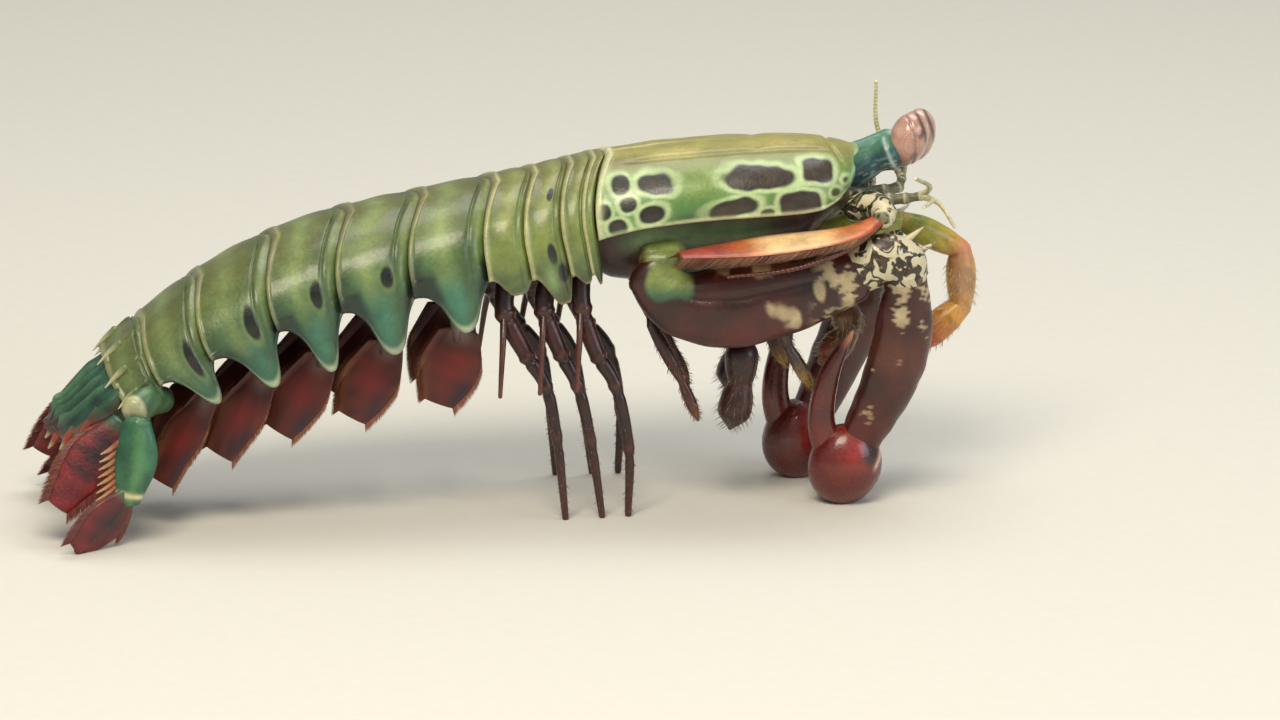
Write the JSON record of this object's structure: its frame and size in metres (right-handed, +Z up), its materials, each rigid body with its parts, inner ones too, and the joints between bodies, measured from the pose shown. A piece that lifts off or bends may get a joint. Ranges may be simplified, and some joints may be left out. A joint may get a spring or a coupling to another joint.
{
  "type": "peacock mantis shrimp model",
  "caption": "Life-size mantis shrimp standing on its legs and tail fan, striking limbs lowered to the ground, eyes raised on stalks.",
  "frame": {"origin": "on the floor, under the middle of the box round the whole animal", "axes": "+X forward along the body towards the head, +Y to the animal's left, +Z up from the floor"},
  "size_m": [0.1432, 0.04, 0.0615],
  "materials": {
    "olive_shell": "glossy shell, olive yellow with cream-rimmed dark spots",
    "green_shell": "glossy shell, green with pale bands",
    "teal_shell": "glossy shell, deep blue green",
    "maroon_shell": "glossy shell, dark maroon",
    "red_shell": "glossy shell, red",
    "orange_shell": "glossy shell, orange and cream",
    "mottled_shell": "satin shell, cream blotches on dark olive brown",
    "eye": "glossy eye, pinkish tan with a dark band"
  },
  "bodies": {
    "root": {"abdomen_1": "green_shell", "abdomen_2": "green_shell", "abdomen_3": "green_shell", "abdomen_4": "green_shell", "abdomen_5": "green_shell", "abdomen_6": "green_shell", "antenna_left": "orange_shell", "antenna_right": "orange_shell", "antennule_left": "mottled_shell", "antennule_right": "mottled_shell", "carapace": "olive_shell", "eye_left": "eye", "eye_right": "eye", "eye_stalk_left": "teal_shell", "eye_stalk_right": "teal_shell", "head": "mottled_shell", "maxilliped_1_left": "maroon_shell", "maxilliped_1_right": "maroon_shell", "maxilliped_3_left": "maroon_shell", "maxilliped_3_right": "maroon_shell", "maxilliped_4_left": "maroon_shell", "maxilliped_4_right": "maroon_shell", "maxilliped_5_left": "maroon_shell", "maxilliped_5_right": "maroon_shell", "pleopod_1_left": "red_shell", "pleopod_1_right": "red_shell", "pleopod_2_left": "red_shell", "pleopod_2_right": "red_shell", "pleopod_3_left": "red_shell", "pleopod_3_right": "red_shell", "pleopod_4_left": "red_shell", "pleopod_4_right": "red_shell", "pleopod_5_left": "red_shell", "pleopod_5_right": "red_shell", "raptorial_arm_left": "maroon_shell", "raptorial_arm_right": "maroon_shell", "raptorial_club_left": "red_shell", "raptorial_club_right": "red_shell", "raptorial_thigh_left": "maroon_shell", "raptorial_thigh_right": "maroon_shell", "raptorial_wrist_left": "mottled_shell", "raptorial_wrist_right": "mottled_shell", "telson": "teal_shell", "thorax_5": "olive_shell", "thorax_6": "olive_shell", "thorax_7": "olive_shell", "thorax_8": "olive_shell", "uropod_base_left": "teal_shell", "uropod_base_right": "teal_shell", "uropod_inner_left": "red_shell", "uropod_inner_right": "red_shell", "uropod_outer_left": "teal_shell", "uropod_outer_right": "teal_shell", "walking_leg_1_left": "maroon_shell", "walking_leg_1_right": "maroon_shell", "walking_leg_2_left": "maroon_shell", "walking_leg_2_right": "maroon_shell", "walking_leg_3_left": "maroon_shell", "walking_leg_3_right": "maroon_shell"}
  },
  "joints": []
}
